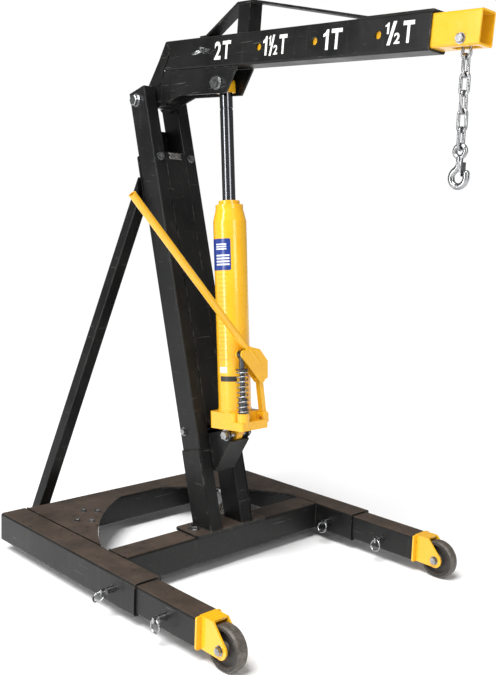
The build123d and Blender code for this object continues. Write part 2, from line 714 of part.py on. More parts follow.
def hook():
    """Forged hook: an eye that hangs in the last link, a bent shank and a round bowl that opens forward."""
    x = CHAIN_TOP[0]
    shank_top, shank_end = HOOK_EYE_Z - HOOK_EYE_R, HOOK_EYE_Z - 26
    bend = (x - HOOK_BOWL_R / 2, (shank_end + HOOK_BOWL_Z) / 2)
    heel, tip = (x - HOOK_BOWL_R, HOOK_BOWL_Z), (x + HOOK_BOWL_R, HOOK_BOWL_Z)
    with BuildPart() as forged:
        with BuildSketch(Plane(origin=(x, 0, HOOK_EYE_Z), x_dir=(1, 0, 0), z_dir=(0, 0, 1))):
            with Locations((HOOK_EYE_R, 0)):
                Circle(HOOK_EYE_WIRE_R)
        revolve(axis=Axis((x, 0, HOOK_EYE_Z), (0, 1, 0)))
        with BuildLine(side_plane()) as path:
            Line((x, shank_top), (x, shank_end))
            TangentArc((x, shank_end), bend, tangent=(0, -1))
            TangentArc(bend, heel, tangent=turned_by_arc((x, shank_end), bend, (0, -1)))
            ThreePointArc(heel, (x, HOOK_BOWL_Z - HOOK_BOWL_R), tip)
            Line(tip, (tip[0], tip[1] + 10))
        with BuildSketch(Plane(origin=(x, 0, shank_top), z_dir=(0, 0, -1))):
            Circle(HOOK_R)
        sweep(path=path.wires()[0])
        with Locations((tip[0], 0, tip[1] + 10)):
            Sphere(HOOK_R)
        with BuildSketch(side_plane()):
            with Locations((x, LATCH_Z)):
                Circle(LATCH_PIN_R + 0.06)
        extrude(amount=20, both=True, mode=Mode.SUBTRACT)
    return forged.part


def hook_latch():
    """Safety latch: a blade inside the hook's tip, two cheeks that straddle the shank, and its pin."""
    x = CHAIN_TOP[0]
    low = HOOK_BOWL_Z + 3
    blade = ((x + 9.2, LATCH_Z + 1), (x + 11.2, LATCH_Z + 1), (x + 11.2, low), (x + 9.2, low))
    cheek = ((x - 3, LATCH_Z + 4), (x + 11.2, LATCH_Z + 4), (x + 11.2, low + 8), (x + 6, low + 14), (x - 3, LATCH_Z - 4))
    with BuildPart() as latch:
        with BuildSketch(side_plane()):
            Polygon(*blade, align=None)
        extrude(amount=HOOK_R + 0.5, both=True)
        for way in (-1, 1):
            with BuildSketch(side_plane(way * (HOOK_R + 1.4))):
                Polygon(*cheek, align=None)
            extrude(amount=1, both=True)
        with BuildSketch(side_plane()):
            with Locations((x, LATCH_Z)):
                Circle(LATCH_PIN_R)
        extrude(amount=HOOK_R + 3.4, both=True)
    return latch.part


# ---------------------------------------------------------------- jack
def jack_lug():
    with BuildPart() as lug:
        with BuildSketch(side_plane()):
            with Locations(JACK_FOOT):
                Circle(19)
            with Locations(Location((*jack_middle(jack_point(0, 0, JACK_FLOOR / 2)), 0), (0, 0, degrees(JACK_LEAN)))):
                Rectangle(50, JACK_FLOOR)
            with Locations(JACK_FOOT):
                Circle(8.1, mode=Mode.SUBTRACT)
        extrude(amount=12, both=True)
    return lug.part


def jack_middle(point):
    """The same point on the hoist's middle plane, as its place in a side view."""
    return (point[0], point[2])


def jack_base():
    """Cast base: a block round the cylinder, a lower shelf in front, the pump boss and two link lugs."""
    with BuildPart() as base:
        with BuildSketch(jack_plane(JACK_FLOOR)):
            RectangleRounded(112, 116, 12)
        extrude(amount=72 - JACK_FLOOR)
        with BuildSketch(jack_plane(JACK_FLOOR)):
            with Locations((60, -2)):
                RectangleRounded(60, 112, 8)
        extrude(amount=46 - JACK_FLOOR)
        with BuildSketch(jack_plane(30, PUMP_X, PISTON_YZ[0])):
            Circle(19)
        extrude(amount=42)
        for way in (-1, 1):
            with BuildSketch(pump_plane(PUMP_X + way * (CHEEK_IN + 2.75))):
                with Locations((LINK_FOOT_YZ[0], LINK_FOOT_YZ[1] - 12)):
                    Rectangle(22, 24)
                with Locations(LINK_FOOT_YZ):
                    Circle(11)
                    Circle(5.06, mode=Mode.SUBTRACT)
            extrude(amount=2.5, both=True)
        with BuildSketch(jack_plane(72)):
            Circle(CYL_R + 2)
        extrude(amount=6)
        with BuildSketch(jack_plane(64)):
            Circle(CYL_R)
        extrude(amount=20, mode=Mode.SUBTRACT)
    return base.part


def jack_cylinder():
    """Cylinder with a coned shoulder and two gland rings, bored for the ram and its piston."""
    with BuildPart() as cylinder:
        with BuildSketch(Plane(origin=jack_point(0, 0, 0), x_dir=jack_plane(0).x_dir, z_dir=(0, -1, 0))):
            with BuildLine():
                Polyline(
                    (CYL_BORE_R, 64), (CYL_R, 64), (CYL_R, CYL_TOP), (42, CYL_TOP + 36), (42, CYL_TOP + 50),
                    (32, CYL_TOP + 50), (32, CYL_TOP + 62), (GLAND_BORE_R, CYL_TOP + 62),
                    (GLAND_BORE_R, CYL_TOP - 5), (CYL_BORE_R, CYL_TOP - 5), close=True,
                )
            make_face()
        revolve(axis=Axis(jack_point(0, 0, 0), jack_plane(0).z_dir))
    return cylinder.part


def ram_rod():
    """Ram with its piston inside the cylinder and a shallow groove near the top."""
    top = JACK_SPAN - 26
    with BuildPart() as rod:
        with BuildSketch(Plane(origin=jack_point(0, 0, 0), x_dir=jack_plane(0).x_dir, z_dir=(0, -1, 0))):
            with BuildLine():
                Polyline(
                    (0, 395), (CYL_BORE_R - 0.08, 395), (CYL_BORE_R - 0.08, 425), (RAM_R, 425), (RAM_R, 984),
                    (RAM_R - 1.2, 985), (RAM_R - 1.2, 989), (RAM_R, 990), (RAM_R, top), (0, top), close=True,
                )
            make_face()
        revolve(axis=Axis(jack_point(0, 0, 0), jack_plane(0).z_dir))
    return rod.part


def ram_head():
    """Yellow end block on the ram, with a rounded top and a cross bore, and the bolt shank in it."""
    with BuildPart() as head:
        with BuildSketch(side_plane()):
            with Locations(RAM_PIN):
                Circle(RAM_HEAD_R)
            with Locations(Location((*jack_middle(jack_point(0, 0, JACK_SPAN - 13)), 0), (0, 0, degrees(JACK_LEAN)))):
                Rectangle(2 * RAM_HEAD_R, 26)
            with Locations(RAM_PIN):
                Circle(RAM_BOLT_R, mode=Mode.SUBTRACT)
        extrude(amount=20, both=True)
    room = GUSSET_OUT_Y - GUSSET_T - 0.4
    centre = Plane(origin=(RAM_PIN[0], 0, RAM_PIN[1]), x_dir=(1, 0, 0), z_dir=(0, -1, 0))
    return head.part, cylinder_on(centre, RAM_BOLT_R, 2 * room, both=True)


# ---------------------------------------------------------------- pump
def pump_cylinder():
    """Small pump barrel that stands in the boss inside the return spring."""
    return ring_on(jack_plane(72, PUMP_X, PISTON_YZ[0]), 13, 8.1, 46)


def pump_piston():
    """Piston rod with a spring cap and a drilled eye, and the pin in the eye."""
    y, up = PISTON_YZ
    with BuildPart() as piston:
        with BuildSketch(jack_plane(104, PUMP_X, y)):
            Circle(8)
        extrude(amount=up - 104 - 8)
        with BuildSketch(jack_plane(SPRING_TOP, PUMP_X, y)):
            Circle(19)
        extrude(amount=4)
        with BuildSketch(pump_plane(PUMP_X)):
            with Locations(PISTON_YZ):
                Circle(11)
                Circle(5, mode=Mode.SUBTRACT)
        extrude(amount=CHEEK_IN - 0.5, both=True)
    with BuildPart() as pin:
        with BuildSketch(pump_plane(PUMP_X)):
            with Locations(PISTON_YZ):
                Circle(5)
        extrude(amount=CHEEK_IN - 0.3, both=True)
    return piston.part, pin.part


def pump_spring():
    """Open coil spring between the boss and the piston's cap."""
    height = SPRING_TOP - SPRING_FOOT - 2 * SPRING_WIRE_R - 0.6
    with BuildPart() as spring:
        with BuildLine() as path:
            Helix(pitch=height / 8, height=height, radius=16.5)
        with BuildSketch(Plane(origin=path.line @ 0, z_dir=path.line % 0)):
            Circle(SPRING_WIRE_R)
        sweep(is_frenet=True)
    base = jack_plane(SPRING_FOOT + SPRING_WIRE_R + 0.3, PUMP_X, PISTON_YZ[0])
    return spring.part.moved(base.location)


def pump_link():
    """Link from the base to the lever's fulcrum, with its two pins."""
    foot, top = Vector(*LINK_FOOT_YZ), Vector(*FULCRUM_YZ)
    run = top - foot
    with BuildPart() as link:
        with BuildSketch(pump_plane(PUMP_X)):
            with Locations(LINK_FOOT_YZ, FULCRUM_YZ):
                Circle(11)
            middle = (foot + top) * 0.5
            with Locations(Location((middle.X, middle.Y, 0), (0, 0, degrees(atan2(run.Y, run.X))))):
                Rectangle(run.length, 16)
        extrude(amount=CHEEK_IN - 0.5, both=True)
        with BuildSketch(pump_plane(PUMP_X)):
            with Locations(LINK_FOOT_YZ, FULCRUM_YZ):
                Circle(5)
        extrude(amount=CHEEK_IN + CHEEK_T + 1, both=True)
    return link.part


def pump_lever():
    """Two cheeks and the handle socket, welded together. The piston's pin holes are left clear."""
    aim = Vector(-0.6755, 0.7374)
    mouth = Vector(-8, 261)
    with BuildPart() as lever:
        for way in (-1, 1):
            with BuildSketch(pump_plane(PUMP_X + way * (CHEEK_IN + CHEEK_T / 2))):
                with Locations(PISTON_YZ, FULCRUM_YZ):
                    Circle(13)
                Polygon((-43, 259), (-4, 270), (30, 262), (62, 224), (60, 172), (28, 162), (-43, 241), align=None)
                with Locations(FULCRUM_YZ):
                    Circle(5.06, mode=Mode.SUBTRACT)
            extrude(amount=CHEEK_T / 2, both=True)
        with BuildSketch(socket_plane(mouth, aim)):
            Circle(15)
        extrude(amount=-58)
        with BuildSketch(socket_plane(mouth - aim * 52, aim)):
            Circle(HANDLE_R + 0.08)
        extrude(amount=52 + 60, mode=Mode.SUBTRACT)
    return lever.part


def socket_plane(mouth, aim):
    """Plane across the handle socket's mouth, facing out along the handle."""
    level = pump_plane(PUMP_X)
    origin = level.from_local_coords(Vector(mouth.X, mouth.Y, 0))
    facing = level.from_local_coords(Vector(mouth.X + aim.X, mouth.Y + aim.Y, 0)) - origin
    return Plane(origin=origin, x_dir=level.z_dir, z_dir=facing)


def pump_handle():
    """Handle tube that plugs into the socket."""
    aim = Vector(-0.6755, 0.7374)
    start = Vector(-8, 261) - aim * 50
    return ring_on(socket_plane(start, aim), HANDLE_R, HANDLE_R - 2, HANDLE_LENGTH)


# ---------------------------------------------------------------- the whole hoist
def build_root():
    base_frame()
    keep("corner_gussets", *[corner_gusset(side) for side in (-1, 1)])
    with BuildPart() as foot:
        with BuildSketch(Plane.XY.offset(FRAME_TOP)):
            with Locations((513, 0)):
                RectangleRounded(108, 292, 8)
            with Locations((FRONT_BAR_X + 45, -115), (FRONT_BAR_X + 45, 115)):
                Circle(8.2, mode=Mode.SUBTRACT)
        extrude(amount=FOOT_PLATE_T)
    keep("mast_foot_plate", foot.part)
    keep("mast_post_right", mast_post(-1))
    keep("mast_post_left", mast_post(1))
    keep("mast_web_plates", *mast_webs())
    keep("mast_doublers", mast_doubler(-1), mast_doubler(1))
    keep("jack_bracket", jack_bracket())
    keep("rear_braces", rear_brace(-1), rear_brace(1))
    keep("frame_bolts", *frame_bolts())
    head = Plane(origin=(BOOM_PIVOT[0], -POST_OUTER_Y, BOOM_PIVOT[1]), x_dir=(1, 0, 0), z_dir=(0, -1, 0))
    keep("boom_pivot_bolt", *bolt_and_nut(head, 10, 2 * POST_OUTER_Y))
    ear_out = POST_INNER_Y
    foot_bolt = Plane(origin=(JACK_FOOT[0], -ear_out, JACK_FOOT[1]), x_dir=(1, 0, 0), z_dir=(0, -1, 0))
    spacers = []
    for y in (-12.4, POST_INNER_Y - 6.1):
        face = Plane(origin=(JACK_FOOT[0], y, JACK_FOOT[1]), x_dir=(1, 0, 0), z_dir=(0, -1, 0))
        spacers.append(ring_on(face, 13, 8.1, POST_INNER_Y - 6.1 - 12.4))
    keep("jack_foot_bolt", *bolt_and_nut(foot_bolt, 8, 2 * ear_out), *spacers)
    keep("rear_caster_plates", caster_plate(-1), caster_plate(1))
    keep("caster_plate_bolts", *caster_bolts())


def build_boom():
    keep("outer_boom", outer_boom())
    keep("boom_gussets", boom_gusset(-1), boom_gusset(1), boom_rear_plate(-1), boom_rear_plate(1))
    keep("king_post_and_strap", king_post(), tension_strap())
    sleeve = Plane(origin=(BOOM_PIVOT[0], POST_INNER_Y - 2, BOOM_PIVOT[1]), x_dir=(1, 0, 0), z_dir=(0, -1, 0))
    keep("boom_pivot_sleeve", ring_on(sleeve, 16, 10.06, 2 * (POST_INNER_Y - 2)))
    keep("ram_bolt_ends", *ram_bolt_ends())
    keep("inner_boom", inner_boom())
    bolt_face = Plane(origin=(CHAIN_TOP[0], -INNER_W / 2, CHAIN_TOP[1]), x_dir=(1, 0, 0), z_dir=(0, -1, 0))
    keep("chain_bolt", *bolt_and_nut(bolt_face, CHAIN_BOLT_R, INNER_W))


def build_pins():
    edge = BASE_WIDTH / 2
    keep("arm_pin_right", *lock_pin(ARM_PIN_X, -edge, FRAME_MID, TUBE + 6, 55))
    keep("arm_pin_left", *lock_pin(ARM_PIN_X, edge - TUBE, FRAME_MID, TUBE + 6, 20))
    leg_edge = (TUBE - LEG) / 2
    keep("leg_pin_right", *lock_pin(LEG_PIN_X, -edge + leg_edge, FRAME_MID, LEG + 8, 0))
    keep("leg_pin_left", *lock_pin(LEG_PIN_X, edge - TUBE + leg_edge, FRAME_MID, LEG + 8, 10))
    x, z = boom_point(HOLE_PITCH, HOLE_DROP)
    keep("boom_pin", *lock_pin(x, -BOOM_W / 2, z, BOOM_W + 8, 60))


def build_running_gear():
    for side, name in ((-1, "right"), (1, "left")):
        keep(f"leg_{name}", leg_tube(side))
        keep(f"front_fork_{name}", front_fork(side))
        axle, wheel = front_caster(side)
        keep(f"front_axle_{name}", *axle)
        keep(f"front_wheel_{name}", wheel)
        fork, pin, rear_wheel = rear_caster(side)
        keep(f"rear_fork_{name}", fork, pin)
        keep(f"rear_wheel_{name}", rear_wheel)


def build_lifting_gear():
    for number in range(LINKS):
        keep(f"chain_link_{number + 1}", chain_link(number))
    keep("hook", hook())
    keep("hook_latch", hook_latch())
    keep("jack_lug", jack_lug())
    keep("jack_base", jack_base())
    keep("jack_cylinder", jack_cylinder())
    keep("pump_cylinder", pump_cylinder())
    keep("ram_rod", ram_rod())
    keep("ram_head", *ram_head())
    keep("pump_piston", *pump_piston())
    keep("pump_spring", pump_spring())
    keep("pump_link", pump_link())
    keep("pump_lever", pump_lever())
    keep("pump_handle", pump_handle())


def write_parts():
    """Move everything so that the origin is the middle of the footprint on the floor, and write it."""
    box = Compound([solid for solids in made.values() for solid in solids]).bounding_box()
    home = Location((-(box.min.X + box.max.X) / 2, -(box.min.Y + box.max.Y) / 2, -box.min.Z))
    os.makedirs("parts", exist_ok=True)
    for name, solids in made.items():
        piece = solids[0] if len(solids) == 1 else Compound(solids)
        piece = piece.moved(home)
        piece.label = name
        export_step(piece, f"parts/{name}.step")
    print("moved by", home.position, "box", box.size)


build_root()
build_boom()
build_pins()
build_running_gear()
build_lifting_gear()
write_parts()
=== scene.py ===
"""Looks of the engine hoist crane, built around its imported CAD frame.

Blender works in metres. Positions here are in the drawing's millimetres, and place() turns them into metres.
"""
from math import atan2, cos, pi, radians, sin

import bmesh
import bpy
from mathutils import Matrix, Vector


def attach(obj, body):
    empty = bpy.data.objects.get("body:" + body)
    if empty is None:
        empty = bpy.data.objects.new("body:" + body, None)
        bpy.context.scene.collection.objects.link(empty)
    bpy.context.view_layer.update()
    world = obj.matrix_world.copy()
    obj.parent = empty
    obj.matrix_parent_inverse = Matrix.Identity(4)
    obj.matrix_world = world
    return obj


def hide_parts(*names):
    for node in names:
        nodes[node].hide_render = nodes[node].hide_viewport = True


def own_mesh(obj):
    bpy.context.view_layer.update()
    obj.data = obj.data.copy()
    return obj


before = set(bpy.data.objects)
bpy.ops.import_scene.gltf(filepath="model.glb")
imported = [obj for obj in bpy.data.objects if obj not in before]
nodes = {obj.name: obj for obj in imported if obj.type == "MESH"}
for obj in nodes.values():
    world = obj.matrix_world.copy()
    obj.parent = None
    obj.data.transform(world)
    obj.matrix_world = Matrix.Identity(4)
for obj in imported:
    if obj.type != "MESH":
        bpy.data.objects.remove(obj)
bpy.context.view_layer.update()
scene = bpy.context.scene
scene.view_settings.view_transform = "Standard"

# The CAD is drawn from the rear crossbar's rear face; HOME_MM is where that frame's origin lies.
HOME_MM = Vector((-652.471, 27.1756, 0))


MAST_FRONT_X, BASE_TOP = 565, 121
BOOM_REAR_X, BOOM_REAR_Z = 216.5, 1634
JACK_FOOT_X, JACK_FOOT_Z = 563, 425
RAM_PIN_X, RAM_PIN_Z = 466, 1481
LEAN, TILT, HEADING = radians(16), radians(-3.3), radians(123)
JACK_LEAN = atan2(JACK_FOOT_X - RAM_PIN_X, RAM_PIN_Z - JACK_FOOT_Z)
CYLINDER_R = 50.5


def place(x, y, z):
    """A point given in the drawing's millimetres, in the row frame."""
    return (Vector((x, y, z)) + HOME_MM) / 1000


def mast_mm(forward, up_, y):
    """A point on the leaning mast: forward of its front face and up along it."""
    x = MAST_FRONT_X + forward * cos(LEAN) - up_ * sin(LEAN)
    return (x, y, BASE_TOP + up_ * cos(LEAN) + forward * sin(LEAN))


def boom_mm(along, down, y):
    """A point on the boom: along it from its rear end and down from its top face."""
    x = BOOM_REAR_X + along * cos(TILT) + down * sin(TILT)
    return (x, y, BOOM_REAR_Z + along * sin(TILT) - down * cos(TILT))


def jack_place(x, y, z):
    """A point of the jack, forward, left and up along the ram from its foot bolt, in the row frame."""
    return place(JACK_FOOT_X + x * cos(JACK_LEAN) - z * sin(JACK_LEAN), y,
                 JACK_FOOT_Z + x * sin(JACK_LEAN) + z * cos(JACK_LEAN))


# ------------------------------------------------------------------ materials
class Paint:
    """A material whose nodes are added one call at a time."""

    def __init__(self, name, colour, metallic=0.0, roughness=0.5, coat=0.0, coat_roughness=0.1):
        self.m = bpy.data.materials.new(name)
        self.m.use_nodes = True
        self.t = self.m.node_tree
        self.shader = self.t.nodes["Principled BSDF"]
        self.set("Base Color", (*colour, 1))
        self.set("Metallic", metallic)
        self.set("Roughness", roughness)
        self.set("Coat Weight", coat)
        self.set("Coat Roughness", coat_roughness)
        self.colour = None
        self.where = self.t.nodes.new("ShaderNodeTexCoord")

    def set(self, socket, value):
        self.shader.inputs[socket].default_value = value

    def wire(self, a, b):
        self.t.links.new(a, b)

    def coords(self, stretch=(1, 1, 1), turn=(0, 0, 0)):
        n = self.t.nodes.new("ShaderNodeMapping")
        n.inputs["Scale"].default_value = stretch
        n.inputs["Rotation"].default_value = turn
        self.wire(self.where.outputs["Object"], n.inputs["Vector"])
        return n.outputs["Vector"]

    def noise(self, scale, detail=4, rough=0.55, stretch=(1, 1, 1), turn=(0, 0, 0)):
        n = self.t.nodes.new("ShaderNodeTexNoise")
        n.inputs["Scale"].default_value = scale
        n.inputs["Detail"].default_value = detail
        n.inputs["Roughness"].default_value = rough
        self.wire(self.coords(stretch, turn), n.inputs["Vector"])
        return n.outputs["Fac"]

    def cells(self, scale):
        n = self.t.nodes.new("ShaderNodeTexVoronoi")
        n.inputs["Scale"].default_value = scale
        self.wire(self.coords(), n.inputs["Vector"])
        return n.outputs["Distance"]

    def ramp(self, value, low, high, out_low=0.0, out_high=1.0):
        n = self.t.nodes.new("ShaderNodeMapRange")
        n.inputs["From Min"].default_value = low
        n.inputs["From Max"].default_value = high
        n.inputs["To Min"].default_value = out_low
        n.inputs["To Max"].default_value = out_high
        self.wire(value, n.inputs["Value"])
        return n.outputs["Result"]

    def math(self, operation, a, b):
        n = self.t.nodes.new("ShaderNodeMath")
        n.operation = operation
        for i, v in enumerate((a, b)):
            if isinstance(v, (int, float)):
                n.inputs[i].default_value = v
            else:
                self.wire(v, n.inputs[i])
        return n.outputs[0]

    def facing(self, direction):
        """How far the piece's own surface faces a direction, from -1 to 1."""
        n = self.t.nodes.new("ShaderNodeVectorMath")
        n.operation = "DOT_PRODUCT"
        n.inputs[1].default_value = direction
        self.wire(self.where.outputs["Normal"], n.inputs[0])
        return n.outputs["Value"]

    def edges(self, radius=0.004):
        """Close to 1 along sharp outer edges."""
        bevel = self.t.nodes.new("ShaderNodeBevel")
        bevel.samples = 4
        bevel.inputs["Radius"].default_value = radius
        true = self.t.nodes.new("ShaderNodeNewGeometry")
        n = self.t.nodes.new("ShaderNodeVectorMath")
        n.operation = "DOT_PRODUCT"
        self.wire(bevel.outputs["Normal"], n.inputs[0])
        self.wire(true.outputs["Normal"], n.inputs[1])
        return self.ramp(n.outputs["Value"], 0.985, 0.86)

    def over(self, mask, colour):
        """Lays a colour over what is there, where the mask is 1."""
        n = self.t.nodes.new("ShaderNodeMix")
        n.data_type = "RGBA"
        if self.colour is None:
            n.inputs[6].default_value = self.shader.inputs["Base Color"].default_value[:]
        else:
            self.wire(self.colour, n.inputs[6])
        n.inputs[7].default_value = (*colour, 1)
        self.wire(mask, n.inputs[0])
        self.colour = n.outputs[2]
        return self

    def rough(self, value):
        self.wire(value, self.shader.inputs["Roughness"])

    def bump(self, height, depth, strength=1.0):
        n = self.t.nodes.new("ShaderNodeBump")
        n.inputs["Strength"].default_value = strength
        n.inputs["Distance"].default_value = depth
        self.wire(height, n.inputs["Height"])
        self.wire(n.outputs["Normal"], self.shader.inputs["Normal"])

    def done(self):
        if self.colour is not None:
            self.wire(self.colour, self.shader.inputs["Base Color"])
        return self.m


def black_paint(name, dust_and_painted_top_light):
    """Semi-gloss black enamel; its last argument sets how much of a dusty brown layer, partly painted light
    from above, lies on the faces that look up.
    """
    p = Paint(name, (0.0058, 0.0062, 0.006), roughness=0.38, coat=0.06, coat_roughness=0.25)
    p.set("Specular IOR Level", 0.26)
    patches = p.noise(7, 5)
    p.over(p.ramp(patches, 0.42, 0.7, 0, 0.6), (0.013, 0.0135, 0.0128))
    streaks = p.noise(5, 6, 0.7, stretch=(14, 14, 1.2))
    p.over(p.ramp(streaks, 0.57, 0.75, 0, 0.35), (0.05, 0.048, 0.044))
    scratch_a = p.ramp(p.noise(9, 2, 0.5, stretch=(1, 34, 22), turn=(0.2, 0.5, 0.9)), 0.695, 0.74)
    scratch_b = p.ramp(p.noise(8, 2, 0.5, stretch=(30, 1, 25), turn=(0.7, 0.1, 0.3)), 0.70, 0.745)
    p.over(p.math("MULTIPLY", p.math("MAXIMUM", scratch_a, scratch_b), 0.4), (0.16, 0.15, 0.14))
    worn = p.math("MULTIPLY", p.edges(), p.ramp(p.noise(38, 5), 0.5, 0.68))
    p.over(p.math("MULTIPLY", worn, 0.65), (0.22, 0.2, 0.18))
    # Faces that look up get a dusty brown layer, which is partly painted light falling from above.
    up = p.ramp(p.facing((0, 0, 1)), 0.6, 0.95)
    grime_and_painted_top_light = p.ramp(p.noise(11, 7, 0.66), 0.3, 0.62, 0.45, 1.0)
    p.over(p.math("MULTIPLY", p.math("MULTIPLY", up, grime_and_painted_top_light), dust_and_painted_top_light), (0.07, 0.05, 0.038))
    specks = p.ramp(p.cells(150), 0.10, 0.055)
    specks = p.math("MULTIPLY", specks, p.ramp(p.noise(22, 3), 0.53, 0.6))
    p.over(p.math("MULTIPLY", specks, p.math("MULTIPLY", up, 0.45 * dust_and_painted_top_light)), (0.3, 0.27, 0.24))
    spots = p.ramp(p.noise(34, 3, 0.5, stretch=(1, 1.6, 1)), 0.64, 0.7)
    p.over(p.math("MULTIPLY", spots, p.math("MULTIPLY", up, 0.8 * dust_and_painted_top_light)), (0.012, 0.01, 0.009))
    p.rough(p.math("ADD", p.ramp(patches, 0.3, 0.75, 0.27, 0.5), p.math("MULTIPLY", up, 0.22 * dust_and_painted_top_light)))
    p.bump(p.noise(260, 3, 0.5), 0.0004, 0.35)
    return p.done()


def yellow_paint(name):
    """Gloss yellow enamel with small chips along its edges."""
    p = Paint(name, (0.87, 0.46, 0.014), roughness=0.24, coat=0.5, coat_roughness=0.08)
    p.over(p.ramp(p.noise(9, 4), 0.4, 0.72, 0, 0.55), (0.8, 0.385, 0.01))
    p.over(p.ramp(p.noise(70, 4, 0.6), 0.6, 0.8, 0, 0.3), (0.6, 0.26, 0.01))
    chips = p.math("MULTIPLY", p.edges(0.003), p.ramp(p.noise(75, 4), 0.57, 0.66))
    p.over(p.math("MULTIPLY", chips, 0.8), (0.07, 0.055, 0.04))
    p.rough(p.ramp(p.noise(24, 4), 0.3, 0.75, 0.17, 0.36))
    p.bump(p.noise(190, 2, 0.5), 0.0003, 0.3)
    return p.done()


def metal(name, light, dark, roughness, grain=60, stretch=(1, 1, 1), depth=0.0002, turn=(0, 0, 0)):
    """Plated, ground or drawn steel; grain is how fine its mottling is and stretch draws it out."""
    p = Paint(name, light, metallic=1.0, roughness=roughness)
    p.over(p.ramp(p.noise(grain, 5, 0.6, stretch, turn), 0.38, 0.72), dark)
    p.over(p.ramp(p.noise(grain * 0.3, 3), 0.55, 0.8, 0, 0.5), tuple(c * 0.7 for c in dark))
    p.rough(p.ramp(p.noise(grain * 0.8, 4, 0.6, stretch, turn), 0.3, 0.75, roughness * 0.75, roughness * 1.5))
    p.bump(p.noise(grain * 5, 3, 0.5, stretch, turn), depth, 0.4)
    return p.done()


def wheel_material(name, axle):
    """Cast iron roller: dark painted sides and a tread worn to dull bare metal."""
    p = Paint(name, (0.085, 0.072, 0.06), metallic=0.35, roughness=0.55)
    p.over(p.ramp(p.noise(60, 6, 0.65), 0.4, 0.7), (0.17, 0.15, 0.13))
    p.over(p.ramp(p.noise(240, 3), 0.6, 0.75, 0, 0.6), (0.03, 0.025, 0.02))
    p.over(p.ramp(p.cells(210), 0.3, 0.12, 0, 0.75), (0.3, 0.28, 0.26))
    side = p.facing(axle)
    side = p.ramp(p.math("MULTIPLY", side, side), 0.35, 0.6)
    p.over(side, (0.035, 0.033, 0.031))
    p.over(p.math("MULTIPLY", side, p.ramp(p.noise(45, 4), 0.55, 0.75, 0, 0.5)), (0.11, 0.095, 0.08))
    p.rough(p.ramp(p.noise(80, 4), 0.3, 0.75, 0.42, 0.7))
    p.bump(p.noise(170, 4, 0.6), 0.0006, 0.6)
    return p.done()


def flat_print(name, colour, dark, roughness=0.35):
    """Printed film or stencilled paint, a little uneven."""
    p = Paint(name, colour, roughness=roughness)
    p.over(p.ramp(p.noise(90, 4, 0.6), 0.5, 0.78, 0, 0.6), dark)
    p.bump(p.noise(300, 2), 0.0002, 0.25)
    return p.done()


# The second number sets the dusty brown layer on faces that look up, partly painted light from above.
paint_base = black_paint("paint_base", 1.0)
paint_mast = black_paint("paint_mast", 0.45)
yellow = yellow_paint("yellow_enamel")
zinc = metal("zinc_plate", (0.47, 0.475, 0.48), (0.2, 0.205, 0.21), 0.24)
ram_steel = metal("ram_steel", (0.17, 0.175, 0.19), (0.11, 0.112, 0.12), 0.16, 14, (1, 1, 0.12), 0.00002)
dark_steel = metal("dark_steel", (0.12, 0.12, 0.125), (0.06, 0.06, 0.062), 0.38)
spring_steel = metal("spring_steel", (0.5, 0.5, 0.5), (0.27, 0.27, 0.28), 0.3)
bare_weld = metal("bare_weld", (0.34, 0.33, 0.32), (0.12, 0.11, 0.1), 0.45, 90)
front_roller = wheel_material("front_roller", (0, 1, 0))
SLOTS = {
    "yellow_paint": yellow, "zinc": zinc, "ram_steel": ram_steel,
    "dark_steel": dark_steel, "spring_steel": spring_steel, "wheel": front_roller,
}
# Parts whose upward faces get the full dusty brown layer, partly painted light from above.
DUST_AND_PAINTED_LIGHT_PARTS = ("arm", "crossbar", "foot_plate", "leg", "corner", "rear_braces")
for name, obj in nodes.items():
    slot = obj.data.materials[0].name
    look = SLOTS.get(slot)
    if look is None:
        look = paint_base if any(word in name for word in DUST_AND_PAINTED_LIGHT_PARTS) else paint_mast
    if name.startswith("rear_wheel"):
        side = -1 if name.endswith("right") else 1
        look = bpy.data.materials.get(name) or wheel_material(name, (sin(HEADING), -side * cos(HEADING), 0))
    obj.data.materials.clear()
    obj.data.materials.append(look)
    obj.data.shade_smooth()
    obj.data.set_sharp_from_angle(angle=radians(32))

# ------------------------------------------------------------------ floor, light, camera
mesh = bpy.data.meshes.new("floor")
SPAN = 60
corners = [(-SPAN, -SPAN, 0), (SPAN, -SPAN, 0), (SPAN, SPAN, 0), (-SPAN, SPAN, 0)]
mesh.from_pydata(corners, [], [(0, 1, 2, 3)])
floor = bpy.data.objects.new("floor", mesh)
floor.location.z = -0.0004
scene.collection.objects.link(floor)
stage_look = Paint("stage", (0.95, 0.95, 0.95), roughness=0.9)
stage_look.over(stage_look.ramp(stage_look.noise(3), 0.4, 0.7, 0, 0.3), (0.93, 0.93, 0.935))
mesh.materials.append(stage_look.done())

world = bpy.data.worlds.new("studio")
scene.world = world
world.use_nodes = True
tree = world.node_tree
glow = tree.nodes["Background"]
glow.inputs["Color"].default_value = (1, 1, 1, 1)
glow.inputs["Strength"].default_value = 0.2
white = tree.nodes.new("ShaderNodeBackground")
white.inputs["Color"].default_value = (1, 1, 1, 1)
white.inputs["Strength"].default_value = 1.0
path = tree.nodes.new("ShaderNodeLightPath")
choose = tree.nodes.new("ShaderNodeMixShader")
tree.links.new(path.outputs["Is Camera Ray"], choose.inputs[0])
tree.links.new(glow.outputs[0], choose.inputs[1])
tree.links.new(white.outputs[0], choose.inputs[2])
tree.links.new(choose.outputs[0], tree.nodes["World Output"].inputs["Surface"])


